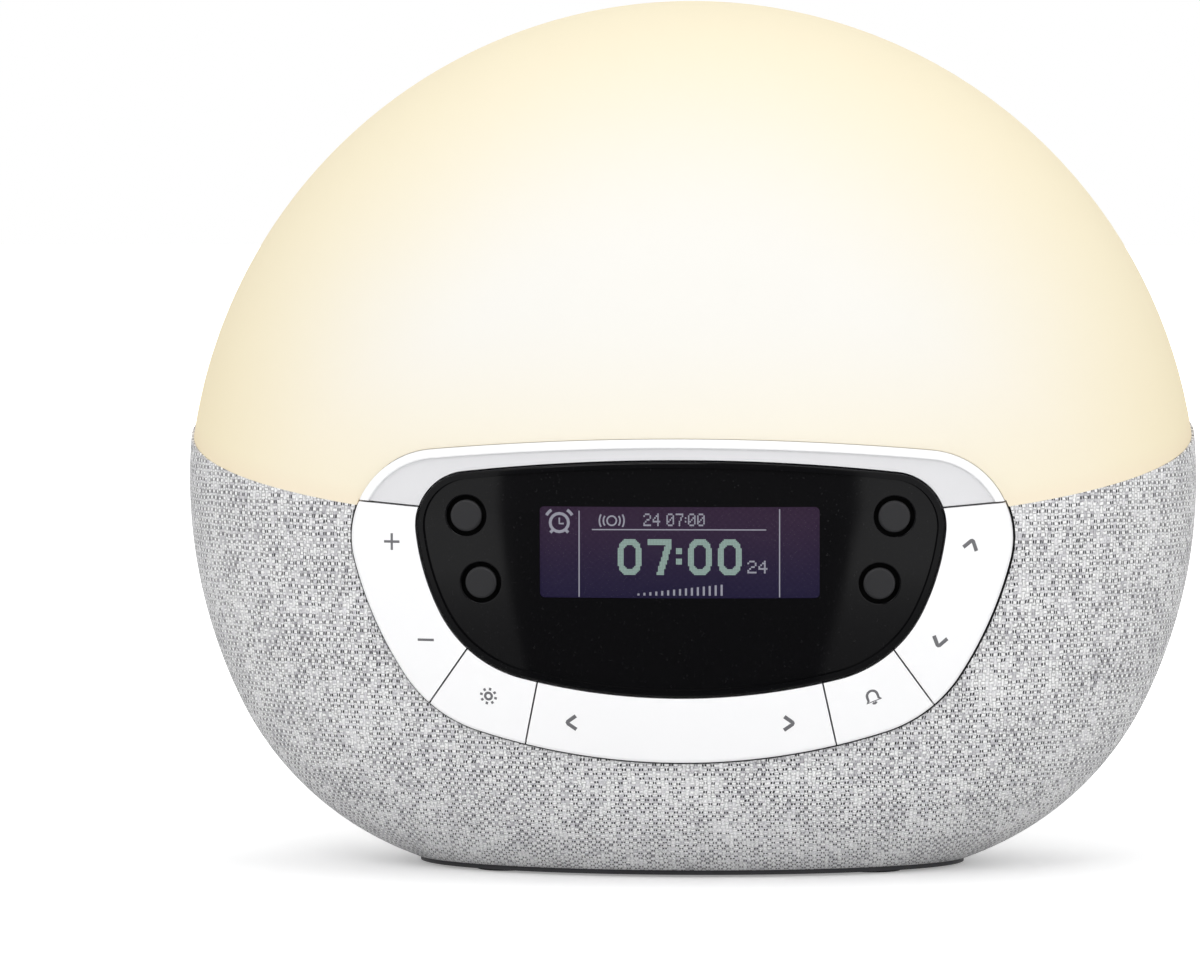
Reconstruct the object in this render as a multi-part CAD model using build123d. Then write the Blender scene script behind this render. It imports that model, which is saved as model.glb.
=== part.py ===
from build123d import *
import os
from math import asin, atan2, cos, degrees, pi, radians, sin, sqrt

# Sunrise alarm clock. Millimetres, +Z up, the face looks along -Y, +X to the viewer's right.
# The origin is the middle of the plane that the feet stand on.

# Overall size and the two curves of the body, as circles in the front view
width = 210.8
height = 180.3
half_depth = 60.0
dome_swell = 0.1
belly_lift = 5.6
belly_turn = 25.5
hem_reach = 0.8

# The join of dome and fabric is a plane that rises towards the back
seam_lift = 10.25
seam_slope = 0.288

# Walls and clearances
fabric_thickness = 1.2
base_wall = 2.4
dome_wall = 2.2
fit_gap = 0.3
pocket_gap = 0.5
key_gap = 0.35
tongue_depth = 3.0
tongue_wall = 1.6

# Underside
foot_reveal = 0.5
foot_radius = 6.0
foot_sink = 0.8
foot_share = (0.768, 0.532)
plate_edge = 1.0
plate_setback = 48.4
plate_lip = 7.5

# Face: a patch of a torus, and two outlines of tangent arcs (radius, turn in degrees)
face_proud = 2.0
face_z = 73.0
face_bend_across = 184.0
face_bend_up = 150.0
face_low = 14.0
face_high = 106.0
face_spread = 26.0
ring_top = 91.25
ring_arcs = [(532.6, 5.47), (18.04, 98.81), (79.12, 18.48), (27.58, 40.04)]
panel_top = 86.8
panel_arcs = [(384.1, 6.56), (10.82, 89.91), (48.66, 19.78), (25.3, 50.08)]

# Breaks between the keys of the ring: a point on the break and its direction outwards
top_break = (59.6, 77.8, 4.5)
side_break = (46.9, 43.3, -54.7)
low_break = (30.3, 35.0, -78.1)
break_length = 40.0
key_top = 1.8
key_skirt = 1.5
key_depth = 4.0
key_round = 1.1
arch_lip = 1.8
arch_valley = 1.0
arch_round = 0.3
valley_round = 0.4

# Switch places: rockers have one at each end, push keys and round caps one each
rocker_top = (58.7, 69.8)
rocker_low = (52.3, 50.1)
push_place = (38.9, 38.9)
lower_rocker = (22.0, 33.7)
cap_upper = (43.2, 75.6)
cap_lower = (40.2, 62.1)
cap_radius = 3.2
cap_rise = 0.6
cap_round = 0.5
flange_reach = 0.7
flange_thickness = 0.8
well_radius = 4.05
well_round = 0.3
stem_radius = 2.0
hole_gap = 0.6
pin_radius = 1.0
pin_gap = 0.15
lug_radius = 3.0
lug_width = 2.4
pin_cover = 0.5
cheek_width = 1.6

# Front panel and display
lens_drop = 0.5
lens_field = 0.6
lens_rim = 1.3
lens_round = 0.5
lens_thickness = 2.2
display_z = 68.4
display_glass = (60.4, 23.4, 1.6)
holder_wall = 1.6

# Depths of the stack behind the face
tray_behind_face = 18.2
tray_thickness = 1.6
collar_wall = 1.2
ledge_width = 2.6
ledge_thickness = 2.0
board_thickness = 1.6
board_margin = 3.2
switch_size = 6.0
switch_height = 3.5
switch_bore = 2.0
switch_floor = 1.0
plunger_radius = 1.6
plunger_proud = 1.4
plunger_inside = 1.5
board_behind_face = 27.0

# Screws
shank_radius = 1.2
thread_gap = 0.1
head_radius = 2.2
head_height = 1.4
head_gap = 0.2
driver_gap = 1.6
tip_gap = 0.3
hole_end = 0.5
boss_wall = 1.0
boss_cap = 0.5
post_wall = 1.4
flat_head_height = 0.8
screw_length = 6.0
face_screws = [(-58.3, 81.0), (58.3, 81.0), (-9.0, 30.4), (9.0, 30.4)]

# Back
cover_width = 68.0
cover_height = 50.0
cover_corner = 12.0
cover_z = 40.0
cover_thickness = 2.2
cover_ledge = 3.5
cover_ledge_thickness = 2.0
cover_screw_inset = 6.5
cover_boss_wall = 1.6
speaker_z = 44.0
speaker_radius = 17.0
speaker_gap = 1.3
speaker_flange = 1.2
basket_depth = 10.0
basket_neck = 9.0
basket_wall = 1.0
magnet_radius = 10.0
magnet_length = 8.0
magnet_plate = 1.5
cone_wall = 0.6
cone_neck = 5.0
surround_width = 2.4
surround_dip = 0.4
cone_rise = 1.2
grille_radius = 13.5
slot_width = 1.6
slot_pitch = 3.4
jack_x = 17.0
jack_z = 26.0
recess_radius = 5.75
recess_wall = 1.5
recess_depth = 6.0
jack_size = (9.0, 13.0, 11.0)
jack_bore = 2.8
jack_bore_depth = 9.6
jack_pin_radius = 1.0
jack_pin_length = 9.0

# Main board
board_overhang = 6.0
main_board_behind_face = 38.0
main_board_from_back = 23.5
board_edge_gap = 1.0
jack_axis_rise = 6.5
post_radius = 3.0
key_board_screws = [(24.0, 82.5), (14.0, 45.0)]
board_chips = [(-8.0, 8.0, (10.0, 10.0, 1.2)), (14.0, 4.0, (7.0, 5.0, 1.5)), (30.0, 2.0, (12.0, 12.0, 6.0))]
board_cans = [(-30.0, 26.0), (-21.0, 26.0), (4.0, 26.0)]
can_radius = 3.15
can_height = 8.0
connector_size = (14.0, 5.0, 3.0)
connector_inset = 1.0
ribbon_width = 12.0
ribbon_thickness = 0.3
ribbon_x = -16.0
ribbon_z = 36.0
ribbon_bend = 1.5

# Light engine, set parallel to the seam
tray_drop = 4.4
reflector_thickness = 1.6
reflector_behind_face = 31.0
reflector_gap = 0.3
light_ledge_width = 4.5
light_ledge_thickness = 1.8
light_board_half = (46.0, 22.0)
light_board_y = 8.0
light_board_seat = 3.0
chip_size = (3.5, 2.8, 0.8)
chip_rings = [(24, 4.5), (14, 13.0)]
sink_size = (70.0, 30.0, 2.0)
fin_count = 9
fin_pitch = 7.5
fin_width = 1.5
fin_height = 6.0

FAR = 400.0
past = 1.0
root = 0.4
cut_spare = 13.0
dome_radius = width / 2 + dome_swell
dome_z = height - dome_radius
belly_z = dome_z + belly_lift
seam_z = belly_z + seam_lift
seam_swing = seam_slope * half_depth
face_y = -half_depth - face_proud
tray_front = face_y + tray_behind_face
key_board_front = face_y + board_behind_face
board_front = face_y + main_board_behind_face
board_back = half_depth - main_board_from_back
reflector_front = face_y + reflector_behind_face
plate_half_width = width / 2 - plate_setback
plate_plug_half = plate_half_width - plate_lip
foot_place = (foot_share[0] * plate_plug_half,
              foot_share[1] * plate_plug_half * half_depth / (width / 2))
board_half_width = foot_place[0] + board_overhang
fabric_bottom = foot_reveal + plate_edge
base_bottom = fabric_bottom + fabric_thickness
base_inner = fabric_thickness + base_wall
tray_back = tray_front + tray_thickness
tray_depth = tray_behind_face + tray_thickness
case_front = key_board_front - switch_height
plunger_tip = case_front - plunger_proud
key_board_back = key_board_front + board_thickness
lens_back = lens_drop + lens_thickness
board_top = jack_z - jack_axis_rise
board_bottom = board_top - board_thickness
plate_screw_seat = foot_reveal + foot_sink + flat_head_height
face_axis_y = face_y + face_bend_across


def squeeze(solid, inset):
    """Flatten a round solid front to back, so that its wall is as thick there as at the sides."""
    half_width = width / 2 - inset
    return scale(solid, by=(1, (half_depth - inset) / half_width, 1))


def foot_arc():
    """The centre and radius of the lower arc of the belly: tangent to the upper one, down to the hem."""
    turn = radians(belly_turn)
    join_x, join_z = width / 2 * cos(turn), belly_z - width / 2 * sin(turn)
    across, down = join_x - plate_half_width - hem_reach, join_z - fabric_bottom
    radius = (across**2 + down**2) / (2 * (across * cos(turn) - down * sin(turn)))
    return join_x - radius * cos(turn), join_z + radius * sin(turn), radius


def belly(inset):
    """The lower body as a full solid, shrunk by inset: one wide arc and the arc down to the foot."""
    bottom = fabric_bottom + inset
    main = width / 2 - inset
    turn = radians(belly_turn)
    cx, cz, radius = foot_arc()
    foot = radius - inset
    top = seam_z + seam_swing + cut_spare
    rise = asin((top - belly_z) / main)
    end = asin((cz - bottom) / foot)
    half = (turn + end) / 2
    start = (main * cos(rise), top)
    join = (main * cos(turn), belly_z - main * sin(turn))
    last = (cx + foot * cos(end), bottom)
    middle = (cx + foot * cos(half), cz - foot * sin(half))
    profile = make_face([
        ThreePointArc(start, (main, belly_z), join),
        ThreePointArc(join, middle, last),
        Polyline(last, (0, bottom), (0, top), start),
    ])
    return squeeze(revolve(Plane.XZ * profile, Axis.Z), inset)


def belly_back(x, z, inset):
    """How far back the belly reaches on the line along Y at x, z."""
    main = width / 2 - inset
    cx, cz, radius = foot_arc()
    if z < belly_z - main * sin(radians(belly_turn)):
        reach = cx + sqrt((radius - inset) ** 2 - (cz - z) ** 2)
    else:
        reach = sqrt(main**2 - (z - belly_z) ** 2)
    return (half_depth - inset) / main * sqrt(reach**2 - x**2)


def dome(inset):
    """The dome as a full solid, shrunk by inset."""
    radius = dome_radius - inset
    low = seam_z - seam_swing - cut_spare
    foot = sqrt(radius**2 - (low - dome_z) ** 2)
    slant = radius * sqrt(0.5)
    profile = make_face([
        ThreePointArc((foot, low), (slant, dome_z + slant), (0, dome_z + radius)),
        Polyline((0, dome_z + radius), (0, low), (foot, low)),
    ])
    return squeeze(revolve(Plane.XZ * profile, Axis.Z), inset)


def seam_plane(lift=0.0):
    """The plane where dome and fabric meet, moved up by lift at right angles to itself."""
    return Plane(origin=(0, 0, seam_z), x_dir=(1, 0, 0), z_dir=(0, -seam_slope, 1)).offset(lift)


def above(lift=0.0):
    return seam_plane(lift) * Box(FAR, FAR, FAR / 2, align=(Align.CENTER, Align.CENTER, Align.MIN))


def below(lift=0.0):
    return seam_plane(lift) * Box(FAR, FAR, FAR / 2, align=(Align.CENTER, Align.CENTER, Align.MAX))


def shell_between(outer, inner, planes):
    """The wall between two nested solids that were cut by the same planes and are open there."""
    faces = []
    rims = {}
    for solid in (outer, inner):
        for face in solid.faces():
            index = open_side(face, planes)
            if index is None:
                faces.append(face)
            else:
                rims.setdefault(index, []).append(face.outer_wire())
    for wires in rims.values():
        faces.append(Face(wires[0], [wires[1]]))
    return Solid(Shell(faces))


def open_side(face, planes):
    """Which of the cutting planes a flat face lies in, if any."""
    if face.geom_type != GeomType.PLANE:
        return None
    for index, plane in enumerate(planes):
        along = abs(face.normal_at().dot(plane.z_dir.normalized()))
        away = abs((face.center() - plane.origin).dot(plane.z_dir.normalized()))
        if along > 0.9999 and away < 0.01:
            return index
    return None


def outline(top, arcs, grow=0.0):
    """A symmetric outline of tangent arcs from the top middle round to the bottom middle."""
    x, z, heading = 0.0, top + grow, 0.0
    right = []
    steps = [(radius + grow, radians(turn)) for radius, turn in arcs]
    for radius, turn in steps + [(None, None)]:
        if radius is None:
            radius, turn = x / sin(pi - heading), pi - heading
        cx, cz = x - radius * sin(heading), z - radius * cos(heading)
        ends = [(cx + radius * sin(heading + part), cz + radius * cos(heading + part))
                for part in (turn / 2, turn)]
        right.append([(x, z), ends[0], ends[1]])
        (x, z), heading = ends[1], heading + turn
    right[-1][2] = (0.0, right[-1][2][1])
    left = [[(-px, pz) for px, pz in reversed(arc)] for arc in reversed(right)]
    return make_face([ThreePointArc(*arc) for arc in right + left])


def ring_outline(grow=0.0):
    return outline(ring_top, ring_arcs, grow)


def panel_outline(grow=0.0):
    return outline(panel_top, panel_arcs, grow)


def prism(face, y0, y1):
    """A flat shape of the front view, drawn out from y0 back to y1."""
    return Pos(0, y0, 0) * extrude(Plane.XZ * face, amount=y0 - y1)


def rod(x, z, radius, y0, y1):
    return prism(Pos(x, z) * Circle(radius), y0, y1)


def block(x0, x1, y0, y1, z0, z1):
    centre = Pos((x0 + x1) / 2, (y0 + y1) / 2, (z0 + z1) / 2)
    return centre * Box(x1 - x0, y1 - y0, z1 - z0)


def drum(x, y, radius, z0, z1):
    return Pos(x, y, (z0 + z1) / 2) * Cylinder(radius, z1 - z0)


def oval(half_width, z0, z1, flat=half_depth / (width / 2)):
    return Pos(0, 0, z0) * extrude(Ellipse(half_width, half_width * flat), amount=z1 - z0)


def slab(depth0, depth1):
    """The curved layer of the face from one depth under its surface to another."""
    centre = face_bend_across - face_bend_up

    def reach(depth, z):
        return centre + sqrt((face_bend_up - depth) ** 2 - (z - face_z) ** 2)

    def corner(depth, z):
        return (reach(depth, z), z)

    def front(depth):
        return (centre + face_bend_up - depth, face_z)

    profile = make_face([
        ThreePointArc(corner(depth0, face_low), front(depth0), corner(depth0, face_high)),
        Line(corner(depth0, face_high), corner(depth1, face_high)),
        ThreePointArc(corner(depth1, face_high), front(depth1), corner(depth1, face_low)),
        Line(corner(depth1, face_low), corner(depth0, face_low)),
    ])
    upright = Plane(origin=(0, face_axis_y, 0), x_dir=(0, -1, 0), z_dir=(-1, 0, 0))
    axis = Axis((0, face_axis_y, 0), (0, 0, 1))
    layer = revolve(upright * profile, axis, revolution_arc=2 * face_spread)
    middle = layer.center()
    side = degrees(asin(middle.X / sqrt(middle.X**2 + (middle.Y - face_axis_y) ** 2)))
    return layer.rotate(axis, -side)


def face_at(x, z, depth=0.0):
    """Where a line along Y meets the face, or the layer at a depth under it."""
    reach = face_bend_across - face_bend_up + sqrt((face_bend_up - depth) ** 2 - (z - face_z) ** 2)
    return face_axis_y - sqrt(reach**2 - x**2)


def both_sides(place):
    return [(-place[0], place[1]), place]


def save(name, *shapes):
    solids = [solid for shape in shapes for solid in shape.solids()]
    body = solids[0] if len(solids) == 1 else Compound(solids)
    export_step(body, f"parts/{name}.step")


def screw(x, y, z, into, head=head_height):
    """A pan-head screw whose head seats at x, y, z and whose shank runs in the direction into."""
    shank = Pos(0, 0, screw_length / 2) * Cylinder(shank_radius, screw_length)
    cap = Pos(0, 0, -head / 2) * Cylinder(head_radius, head)
    return Plane(origin=(x, y, z), x_dir=(1, 0, 0), z_dir=into) * (shank + cap)


def turned(points, x, z):
    """A shape turned about the line along Y at x, z, from its points (radius, y)."""
    section = Pos(x, 0, z) * make_face(Polyline(*points, close=True))
    return revolve(section, Axis((x, 0, z), (0, 1, 0)))


# ---- Body ----


def face_pocket(gap):
    """The room that the face and the ledge behind it take out of the body."""
    return prism(ring_outline(gap), -FAR / 4, tray_back + ledge_thickness)


def cover_prism(grow, y0=0.0):
    shape = Pos(0, cover_z) * RectangleRounded(
        cover_width + 2 * grow, cover_height + 2 * grow, cover_corner + grow)
    return prism(shape, y0, FAR / 4)


def make_dome():
    shell = shell_between(dome(0) & above(), dome(dome_wall) & above(), [seam_plane()])
    outer, inner = base_inner + fit_gap, base_inner + fit_gap + tongue_wall
    cuts = [seam_plane(-tongue_depth), seam_plane(dome_wall)]
    tongue = shell_between(
        belly(outer) & above(-tongue_depth) & below(dome_wall),
        belly(inner) & above(-tongue_depth) & below(dome_wall), cuts)
    step = shell_between(
        dome(dome_wall / 2) & above() & below(dome_wall),
        belly(inner) & above() & below(dome_wall), [seam_plane(), seam_plane(dome_wall)])
    clear = prism(ring_outline(fit_gap + collar_wall + 2 * fit_gap), -FAR / 4, reflector_front)
    keys = face_pocket(fit_gap) & block(-FAR, FAR, -FAR, FAR, 0, top_break[1] + 2 * key_gap)
    return (shell - face_pocket(thread_gap) - keys) + ((tongue + step) - clear)


def make_fabric():
    skin = shell_between(belly(0) & below(), belly(fabric_thickness) & below(),
                         [seam_plane()])
    skin -= face_pocket(pocket_gap)
    skin -= cover_prism(fit_gap)
    return skin - oval(plate_plug_half + fit_gap, 0, base_bottom + past)


def make_collar():
    """The wall round the face, from the body's skin back to a ledge that the face sits on."""
    gap = fit_gap + thread_gap
    ring = ring_outline(gap + collar_wall) - ring_outline(gap)
    back = tray_back + ledge_thickness
    tube = prism(ring, -FAR / 4, back)
    low = tube & (belly(fabric_thickness) & below())
    high = tube & (dome(dome_wall + fit_gap) & above())
    ledge = prism(ring_outline(gap + collar_wall / 2) - ring_outline(-ledge_width), tray_back, back)
    for x, z in face_screws:
        seat = rod(x, z, head_radius + boss_wall, tray_back, back)
        ledge += seat & prism(ring_outline(gap), -FAR / 4, back)
    for x, z in face_screws:
        ledge -= rod(x, z, shank_radius + thread_gap, tray_back - past, back + past)
    return low + high + ledge


def cover_screw_places():
    dx = cover_width / 2 - cover_screw_inset
    dz = cover_height / 2 - cover_screw_inset
    return [(sx * dx, cover_z + sz * dz) for sx in (-1, 1) for sz in (-1, 1)]


def corners(place):
    return [(sx * place[0], sy * place[1]) for sx in (-1, 1) for sy in (-1, 1)]


def make_cover_ledge():
    """The frame inside the back opening that the rear cover seats on, with its four bosses."""
    depth = fit_gap + cover_thickness + thread_gap
    frame = cover_prism(base_wall) - cover_prism(-cover_ledge)
    ledge = (frame & (belly(depth) & below())) - belly(depth + cover_ledge_thickness)
    for x, z in cover_screw_places():
        boss = rod(x, z, shank_radius + cover_boss_wall, belly_back(x, z, depth) - screw_length, FAR / 4)
        ledge += boss & belly(depth)
    for x, z in cover_screw_places():
        ledge -= rod(x, z, shank_radius + thread_gap, 0, FAR / 4)
    return ledge


def make_light_ledge():
    """The shelf round the inside, parallel to the seam, that the reflector lies on."""
    top = -tray_drop - reflector_thickness
    cuts = [seam_plane(top - light_ledge_thickness), seam_plane(top)]
    shelf = shell_between(
        belly(base_inner - root) & above(top - light_ledge_thickness) & below(top),
        belly(base_inner + light_ledge_width) & above(top - light_ledge_thickness) & below(top), cuts)
    return shelf & block(-FAR, FAR, reflector_front + past, FAR, 0, FAR)


def make_base():
    shell = shell_between(belly(fabric_thickness) & below(), belly(base_inner) & below(),
                          [seam_plane()])
    shell -= face_pocket(fit_gap + thread_gap)
    shell += make_collar()
    shell -= cover_prism(fit_gap)
    shell += make_cover_ledge()
    shell += make_light_ledge()
    for x, y in corners(foot_place):
        shell += drum(x, y, post_radius, base_bottom + base_wall / 2, board_bottom)
    for x, y in corners(foot_place):
        hole = shank_radius + thread_gap
        shell -= drum(x, y, hole, 0, plate_screw_seat + screw_length + hole_end)
        shell -= drum(x, y, hole, board_top - screw_length - hole_end, board_top)
    return shell


def make_base_plate():
    """The dark plate under the fabric's hem, its plug in the hem's opening."""
    solid = oval(plate_half_width, foot_reveal, fabric_bottom)
    solid += oval(plate_plug_half, foot_reveal, base_bottom)
    for x, y in corners(foot_place):
        solid -= drum(x, y, foot_radius, 0, foot_reveal + foot_sink)
        solid -= drum(x, y, head_radius + head_gap, 0, plate_screw_seat)
        solid -= drum(x, y, shank_radius + thread_gap, 0, base_bottom + past)
    return solid


# ---- Face ----

def break_bar(place, side, width_of_cut):
    """A thin bar across the ring, where two keys meet."""
    x, z, turn = place
    return Pos(side * x, z) * Rot(0, 0, side * turn) * Rectangle(break_length, width_of_cut)


def ring_pieces():
    """The flat outlines of the five keys and of the arch over the panel."""
    band = ring_outline() - panel_outline(fit_gap)
    for place in (top_break, side_break, low_break):
        for side in (-1, 1):
            band -= break_bar(place, side, key_gap)
    names = ("arch", "right_rocker", "right_push", "bottom_rocker", "left_push", "left_rocker")
    marks = ((0, ring_top), rocker_low, push_place, (0, ring_outline().bounding_box().min.Y),
             (-push_place[0], push_place[1]), (-rocker_low[0], rocker_low[1]))
    pieces = {}
    for name, mark in zip(names, marks):
        target = Vector(mark[0], mark[1], 0)
        pieces[name] = min(band.faces(), key=lambda face: face.distance_to(target))
    return pieces


def key_body(shape, switch_places):
    """A key: a curved top with a skirt, and a stem down to each switch."""
    solid = soften(slab(0, key_depth) & prism(shape, -FAR / 4, 0))
    hollow = slab(key_top, key_depth + past) & prism(offset(shape, -key_skirt), -FAR / 4, 0)
    solid -= hollow
    for x, z in switch_places:
        solid += rod(x, z, stem_radius, face_at(x, z, key_top / 2), plunger_tip)
    return solid


def soften(key):
    """Round the edge of a key where its top meets its outer side."""
    return fillet(edges_along(key, 0.0, ring_outline()), key_round)


def lies_on_layer(edge, depth):
    at = edge.position_at(0.5)
    return abs(at.Y - face_at(at.X, at.Z, depth)) < 0.02


def follows(edge, shape):
    """Whether an edge lies over the border of a flat shape of the front view."""
    at = edge.position_at(0.5)
    return shape.face().outer_wire().distance_to(Vector(at.X, at.Z, 0)) < 0.05


def edges_along(solid, depth, shape):
    """The edges at a depth under the face that lie over the border of a flat shape."""
    return [edge for edge in solid.edges() if lies_on_layer(edge, depth) and follows(edge, shape)]


def rocker_pivot(upper, lower):
    """The middle of a rocker, the direction of its pin in the front view, and the pin's depth."""
    x, z = (upper[0] + lower[0]) / 2, (upper[1] + lower[1]) / 2
    dx, dz = upper[0] - lower[0], upper[1] - lower[1]
    turn = degrees(atan2(dx, -dz)) if dz else 90.0
    return x, z, turn, face_at(x, z, key_top) + lug_radius


def pivot_rod(pivot, radius, length, shift=0.0):
    """A rod along the pin of a rocker, moved along it by shift."""
    x, z, turn, y = pivot
    along = Pos(x, y, z) * Rot(0, -turn, 0)
    return along * Pos(shift, 0, 0) * Rot(0, 90, 0) * Cylinder(radius, length)


def lug_block(pivot, thickness, shift, y0, y1):
    """A flat block beside the pin of a rocker, from y0 back to y1."""
    x, z, turn, _ = pivot
    shape = Pos(x, z) * Rot(0, 0, turn) * Pos(shift, 0) * Rectangle(thickness, 2 * lug_radius)
    return prism(shape, y0, y1)


def make_rocker(shape, places, pivot):
    solid = key_body(shape, places)
    lug = pivot_rod(pivot, lug_radius, lug_width)
    lug += lug_block(pivot, lug_width, 0, pivot[3] - lug_radius - key_top / 2, pivot[3])
    return (solid + lug) - pivot_rod(pivot, pin_radius + pin_gap, 2 * lug_width)


def make_cap(x, z):
    """A round cap: its head in the well, and the flange behind the panel that keeps it there."""
    top = lens_drop + lens_field - cap_rise
    front = lens_back + fit_gap
    back = front + flange_thickness
    head = slab(top, back) & rod(x, z, cap_radius, -FAR / 4, 0)
    head = fillet([edge for edge in head.edges() if lies_on_layer(edge, top)], cap_round)
    head += slab(front, back) & rod(x, z, well_radius + flange_reach, -FAR / 4, 0)
    return head + rod(x, z, stem_radius, face_at(x, z, (front + back) / 2), plunger_tip)


def pin_length():
    return lug_width + 2 * fit_gap + 2 * cheek_width


def make_arch(shape):
    """The white band over the panel: a lip along its outside, and a valley from there to the panel."""
    solid = slab(0, tray_depth) & prism(shape, -FAR / 4, tray_front + tray_thickness / 2)
    solid -= slab(-past, arch_valley) & prism(ring_outline(-arch_lip) - panel_outline(), -FAR / 4, 0)
    inside = ring_outline(-arch_lip)
    solid = fillet(edges_along(solid, arch_valley, inside), valley_round)
    return fillet(edges_along(solid, 0.0, ring_outline()) + edges_along(solid, 0.0, inside), arch_round)


def make_frame(arch, pivots, places):
    """The white arch, the tray behind the keys, the collar under the panel and the pin cheeks."""
    tray = prism(ring_outline(thread_gap), tray_front, tray_back)
    solid = tray + make_arch(arch)
    collar = panel_outline(-fit_gap) - panel_outline(-fit_gap - collar_wall)
    middle = tray_front + tray_thickness / 2
    solid += slab(lens_back + thread_gap, tray_depth) & prism(collar, -FAR / 4, middle)
    for pivot in pivots:
        shift = lug_width / 2 + fit_gap + cheek_width / 2
        for side in (-1, 1):
            front = pivot[3] - pin_radius - pin_cover
            solid += lug_block(pivot, cheek_width, side * shift, front, tray_front + root)
        solid -= pivot_rod(pivot, pin_radius, pin_length())
    for x, z in places:
        solid -= rod(x, z, stem_radius + hole_gap, tray_front - past, tray_back + past)
    tip = tray_back + ledge_thickness - screw_length - tip_gap
    for x, z in face_screws:
        solid += rod(x, z, shank_radius + thread_gap + boss_wall, tip - boss_cap, tray_front)
        solid -= rod(x, z, shank_radius + thread_gap, tip, tray_back + past)
    for place in key_board_screws:
        for x, z in both_sides(place):
            solid += rod(x, z, shank_radius + post_wall, tray_back, key_board_front)
            solid -= rod(x, z, shank_radius + thread_gap, key_board_back - screw_length - tip_gap, 0)
    return solid


def make_lens():
    """The black panel: a rounded rim, a field set back inside it, and a round well for each cap."""
    solid = slab(lens_drop, lens_back) & prism(panel_outline(), -FAR / 4, 0)
    solid = fillet([edge for edge in solid.edges() if lies_on_layer(edge, lens_drop)], lens_round)
    solid -= slab(0, lens_drop + lens_field) & prism(panel_outline(-lens_rim), -FAR / 4, 0)
    wells = both_sides(cap_upper) + both_sides(cap_lower)
    for x, z in wells:
        solid -= rod(x, z, well_radius, -FAR / 4, 0)
    mouths = [edge for x, z in wells
              for edge in edges_along(solid, lens_drop + lens_field, Pos(x, z) * Circle(well_radius))]
    return fillet(mouths, well_round)


def make_switches(places):
    cases = []
    for x, z in places:
        case = block(x - switch_size / 2, x + switch_size / 2, case_front, key_board_front,
                     z - switch_size / 2, z + switch_size / 2)
        bore = rod(x, z, switch_bore, case_front - past, key_board_front - switch_floor)
        cases.append(case - bore)
    return cases


def make_plunger(x, z):
    return rod(x, z, plunger_radius, plunger_tip, case_front + plunger_inside)


def make_key_board():
    solid = prism(ring_outline(-board_margin), key_board_front, key_board_back)
    for x, z in face_screws:
        solid -= rod(x, z, head_radius + driver_gap, key_board_front - past, key_board_back + past)
    for place in key_board_screws:
        for x, z in both_sides(place):
            solid -= rod(x, z, shank_radius + thread_gap, key_board_front - past, key_board_back + past)
    return solid


def make_display():
    wide, tall, thick = display_glass
    corner_depths = [face_at(wide / 2, display_z + end, lens_back) for end in (-tall / 2, tall / 2)]
    back = max(corner_depths) + fit_gap + thick
    glass = block(-wide / 2, wide / 2, back - thick, back, display_z - tall / 2, display_z + tall / 2)
    outer = block(-wide / 2, wide / 2, back, tray_front, display_z - tall / 2, display_z + tall / 2)
    inner = block(-wide / 2 + holder_wall, wide / 2 - holder_wall, back - past, tray_front + past,
                  display_z - tall / 2 + holder_wall, display_z + tall / 2 - holder_wall)
    return glass, outer - inner


# ---- Back ----

def recess_end():
    """How far in the plug recess of the cover ends, where the jack's face is."""
    return belly_back(jack_x, jack_z, fit_gap) - recess_depth


def speaker_seat():
    """Where the speaker's rim seats: clear of the cover's inside at the lowest point of the rim."""
    return belly_back(0, speaker_z - speaker_radius, fit_gap + cover_thickness) - speaker_gap


def make_cover():
    """The plastic panel of the back: it follows the body and carries the grille and the plug recess."""
    outer = cover_prism(0) & (belly(fit_gap) & below())
    solid = outer - belly(fit_gap + cover_thickness)
    collars = rod(0, speaker_z, speaker_radius, speaker_seat(), FAR / 4)
    collars -= rod(0, speaker_z, speaker_radius - basket_wall - surround_width / 2, 0, FAR / 4)
    collars += rod(jack_x, jack_z, recess_radius + recess_wall, recess_end(), FAR / 4)
    solid += collars & belly(fit_gap + cover_thickness / 2)
    solid -= rod(jack_x, jack_z, recess_radius, 0, FAR / 4)
    count = int(grille_radius / slot_pitch)
    for step in range(-count, count + 1):
        x = step * slot_pitch
        length = 2 * sqrt(grille_radius**2 - x**2)
        slot = Pos(x, speaker_z) * Rot(0, 0, 90) * SlotOverall(length, slot_width)
        solid -= prism(slot, 0, FAR / 4)
    for x, z in cover_screw_places():
        solid -= rod(x, z, head_radius + head_gap, cover_screw_seat(x, z), FAR / 4)
        solid -= rod(x, z, shank_radius + thread_gap, 0, FAR / 4)
    return solid


def cover_screw_seat(x, z):
    return belly_back(x, z, fit_gap) - head_height


def make_speaker():
    seat = speaker_seat()
    rim = speaker_radius - 2 * basket_wall
    flange_front = seat - speaker_flange
    back = seat - basket_depth
    basket = turned([
        (speaker_radius, seat), (speaker_radius, flange_front), (rim, flange_front),
        (basket_neck, back), (0, back), (0, back + basket_wall), (basket_neck - basket_wall, back + basket_wall),
        (rim - basket_wall, flange_front), (rim - basket_wall, seat)], 0, speaker_z)
    magnet = rod(0, speaker_z, magnet_radius, back - magnet_length, back)
    magnet += rod(0, speaker_z, magnet_radius - magnet_plate, back - magnet_length - magnet_plate, back)
    lip = rim - basket_wall - thread_gap
    low = seat - basket_depth + 3 * basket_wall
    cone = turned([
        (lip, seat), (lip, seat - cone_wall), (lip - surround_width, seat - cone_wall - surround_dip),
        (cone_neck, low), (0, low), (0, low + cone_wall + cone_rise), (cone_neck, low + cone_wall),
        (lip - surround_width, seat - surround_dip / 2)], 0, speaker_z)
    return basket, magnet, cone


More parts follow.
